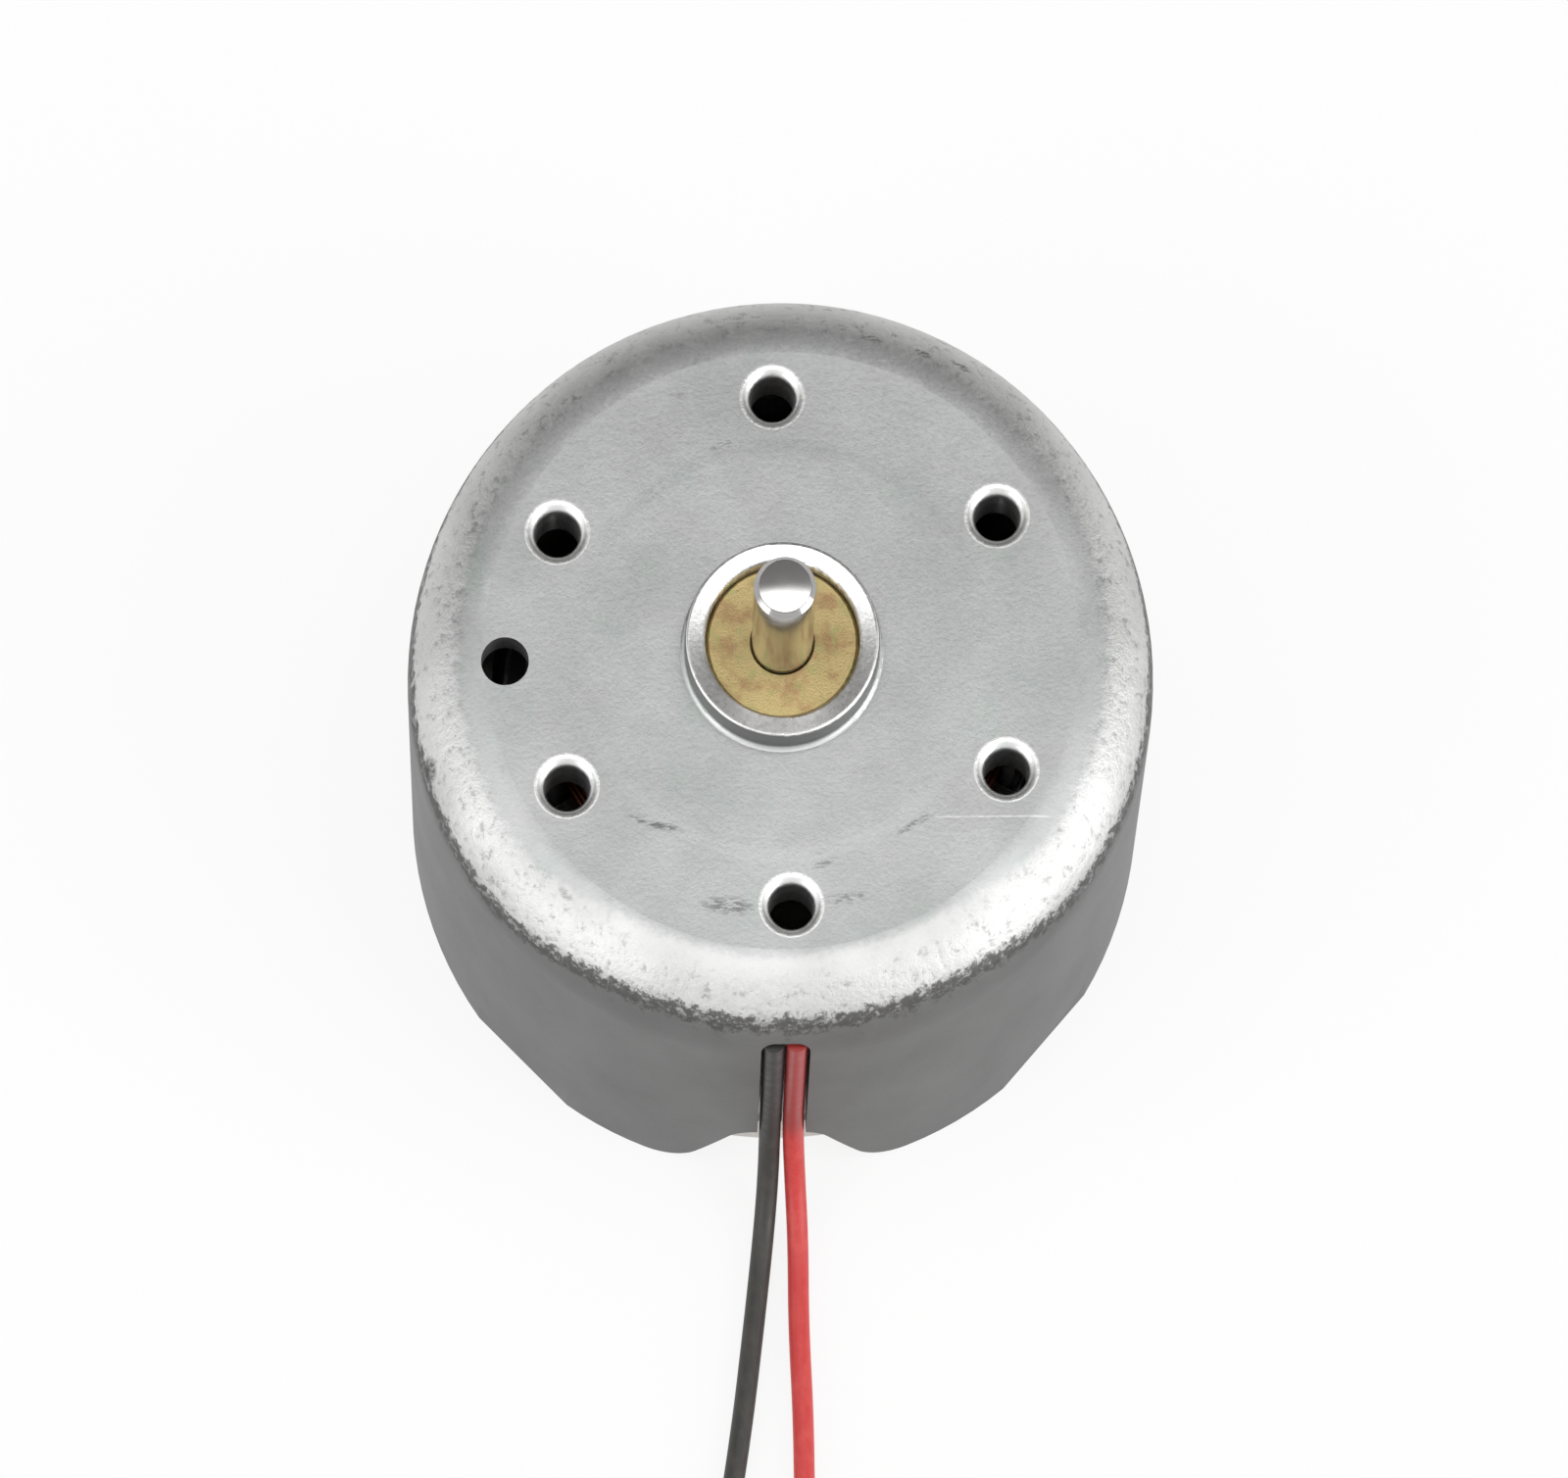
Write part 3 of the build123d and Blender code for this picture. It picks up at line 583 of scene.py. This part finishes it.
# ---------------------------------------------------------------- plastics, rubber and ceramic
def moulded(name, colour, roughness, variation=0.12, scale=1.6, grain=0.01):
    s = Shader(name, colour, roughness=roughness)
    flow = s.noise(scale, detail=3, stretch=(1, 1, 0.4))
    speckle = s.noise(18.0, detail=2, roughness=0.7)
    darker = tuple(c * (1 - variation) for c in colour)
    lighter = tuple(min(1.0, c * (1 + variation)) for c in colour)
    mixed = s.mix(s.remap(flow, 0.3, 0.7), darker, lighter)
    rough = s.remap(flow, 0.3, 0.7, roughness * 0.88, roughness * 1.12)
    return s.use(mixed, rough, s.bump(speckle, grain, 0.5))


dress(moulded("white_nylon", (0.80, 0.79, 0.74), 0.42, 0.04), "end_cap")
dress(moulded("bonded_ferrite", (0.055, 0.052, 0.05), 0.72, 0.3, 5.0, 0.02), "ring_magnet")
# the insulators' dark fibre is painted darker still, as painted shade for the inside of the closed motor
dress(moulded("fibre_painted_dark_as_shade", (0.022, 0.026, 0.022), 0.75, 0.2, 4.0),
      "front_insulator", "rear_insulator")
dress(moulded("brown_thermoset", (0.16, 0.08, 0.045), 0.4, 0.15), "commutator_hub")
dress(moulded("varistor_grey", (0.09, 0.09, 0.10), 0.6, 0.2, 4.0), "varistor_ring")
dress(moulded("acetal", (0.74, 0.71, 0.60), 0.38, 0.05),
      "thrust_pad", "spacer", "rear_washer", "front_washer")
dress(moulded("graphite", (0.045, 0.045, 0.05), 0.5, 0.3, 6.0), "brush_tip_left", "brush_tip_right")
dress(moulded("damper_rubber", (0.06, 0.06, 0.06), 0.8, 0.2, 4.0),
      "brush_damper_left", "brush_damper_right")


# the heights between which the painted shade on the leads sets in, as they rise into the can's channel
LEAD_SHADE_HEIGHTS = (3.0, 4.2)


def insulation(name, colour, dusty, roughness):
    """Soft extruded insulation: a faint wave over the strands, dust and scuffs, and painted shade on the
    stretch in the can's channel.
    """
    s = Shader(name, colour, roughness=roughness, Specular_IOR_Level=0.5)
    scuffs = s.noise(2.6, detail=5, roughness=0.65, stretch=(1, 0.5, 1))
    fine = s.noise(16.0, detail=3, roughness=0.6)
    mixed = s.mix(s.remap(scuffs, 0.42, 0.72, 0.0, 0.55), colour, dusty)
    # the stretch in the can's channel is painted darker, as painted shade
    _, _, z = s.axes()
    channel_shade = s.remap(z, *LEAD_SHADE_HEIGHTS, 0.0, 0.55)
    mixed = s.mix(channel_shade, mixed, tuple(channel * 0.25 + 0.01 for channel in colour))
    rough = s.remap(scuffs, 0.3, 0.7, roughness * 0.85, roughness * 1.25)
    return s.use(mixed, rough, s.bump(s.plus(scuffs, s.times(fine, 0.3)), 0.02, 0.5))


dress(insulation("black_insulation", (0.030, 0.029, 0.026), (0.075, 0.070, 0.058), 0.5), black_lead)
dress(insulation("red_insulation", (0.60, 0.045, 0.042), (0.70, 0.10, 0.085), 0.40), red_lead)
dress(plain_metal("tinned_strands", (0.74, 0.74, 0.73), 0.3, (0.55, 0.5, 0.45), 6.0),
      "lead_black_end", "lead_red_end")


# ---------------------------------------------------------------- floor, world and light
# Everything from here on is in metres.
WHITE = (1, 1, 1, 1)
FLOOR_WIDTH = 6.0
FLOOR_DROP = 0.00002
FLOOR_GREY = (0.92, 0.92, 0.92, 1)
CARD_GREY = (0.2, 0.195, 0.19, 1)
MATT = 0.9
# how much of its own even white the floor shows to the camera, in place of the light that falls on it
FLOOR_WHITE_SHARE = 0.86
AMBIENT = 0.48
# the lamps: name, place, width, depth, radiance
SOFTBOXES = [
    ("overhead", (0.0, 0.02, 0.50), 0.62, 0.26, 1.35),
    ("left_window", (-0.46, -0.20, 0.30), 0.42, 0.34, 2.2),
    ("right_window", (0.46, -0.20, 0.30), 0.42, 0.40, 2.6),
    ("right_fill", (0.48, -0.16, 0.07), 0.30, 0.14, 2.0),
]


def seen_rays(tree, share=1.0):
    """share for the rays by which the camera sees a thing, straight or in a reflection, otherwise 0."""
    path = tree.nodes.new("ShaderNodeLightPath")
    total = path.outputs["Is Camera Ray"]
    for name in ("Is Glossy Ray", "Is Transmission Ray"):
        node = tree.nodes.new("ShaderNodeMath")
        node.operation = "MAXIMUM"
        tree.links.new(total, node.inputs[0])
        tree.links.new(path.outputs[name], node.inputs[1])
        total = node.outputs[0]
    scaled = tree.nodes.new("ShaderNodeMath")
    scaled.operation = "MULTIPLY"
    scaled.inputs[1].default_value = share
    tree.links.new(total, scaled.inputs[0])
    return scaled.outputs[0]


def mix_by_rays(tree, unseen, seen, output, share=1.0):
    """One shader for the light in the scene, and another for what the camera sees."""
    mixer = tree.nodes.new("ShaderNodeMixShader")
    tree.links.new(seen_rays(tree, share), mixer.inputs[0])
    tree.links.new(unseen.outputs[0], mixer.inputs[1])
    tree.links.new(seen.outputs[0], mixer.inputs[2])
    tree.links.new(mixer.outputs[0], tree.nodes[output].inputs[0])


def flat_sheet(name, width, height, colour):
    """A flat matt rectangle round the origin, in the XY plane, that isn't part of the motor."""
    mesh = bpy.data.meshes.new(name)
    w, h = width / 2, height / 2
    mesh.from_pydata([(-w, -h, 0), (w, -h, 0), (w, h, 0), (-w, h, 0)], [], [(0, 1, 2, 3)])
    sheet = bpy.data.objects.new(name, mesh)
    scene.collection.objects.link(sheet)
    material = bpy.data.materials.new(name)
    material.use_nodes = True
    paint = material.node_tree.nodes["Principled BSDF"]
    paint.inputs["Base Color"].default_value = colour
    paint.inputs["Roughness"].default_value = MATT
    mesh.materials.append(material)
    return sheet, material.node_tree


def make_floor():
    floor, tree = flat_sheet("floor", FLOOR_WIDTH, FLOOR_WIDTH, FLOOR_GREY)
    floor.location.z = -FLOOR_DROP
    white = tree.nodes.new("ShaderNodeEmission")
    white.inputs["Color"].default_value = WHITE
    white.inputs["Strength"].default_value = 1.0
    mix_by_rays(tree, tree.nodes["Principled BSDF"], white, "Material Output", FLOOR_WHITE_SHARE)


def make_world():
    world = bpy.data.worlds.new("studio")
    scene.world = world
    world.use_nodes = True
    tree = world.node_tree
    ambient = tree.nodes["Background"]
    ambient.inputs["Color"].default_value = WHITE
    ambient.inputs["Strength"].default_value = AMBIENT
    seen = tree.nodes.new("ShaderNodeBackground")
    seen.inputs["Color"].default_value = WHITE
    seen.inputs["Strength"].default_value = 1.0
    mix_by_rays(tree, ambient, seen, "World Output")


def aim(item, place):
    """Puts a lamp or a card at place, facing the origin."""
    item.location = place
    item.rotation_euler = (-Vector(place)).to_track_quat("-Z", "Y").to_euler()


def softbox(name, place, width, depth, radiance):
    """A soft white lamp of even radiance that faces the motor. The camera doesn't see it."""
    data = bpy.data.lights.new(name, "AREA")
    data.shape = "RECTANGLE"
    data.size = width
    data.size_y = depth
    data.energy = radiance * math.pi * width * depth
    lamp = bpy.data.objects.new(name, data)
    scene.collection.objects.link(lamp)
    lamp.visible_camera = False
    aim(lamp, place)


def dark_card(name, place, width, height):
    """A dark card that the metal mirrors. The camera doesn't see it, and it casts no shadow."""
    card, _ = flat_sheet(name, width, height, CARD_GREY)
    aim(card, place)
    card.visible_camera = False
    card.visible_diffuse = False
    card.visible_shadow = False


make_floor()
make_world()
for lamp in SOFTBOXES:
    softbox(*lamp)
dark_card("back_card", (0.0, 0.42, 0.32), 1.1, 0.66)
scene.view_settings.view_transform = "Standard"
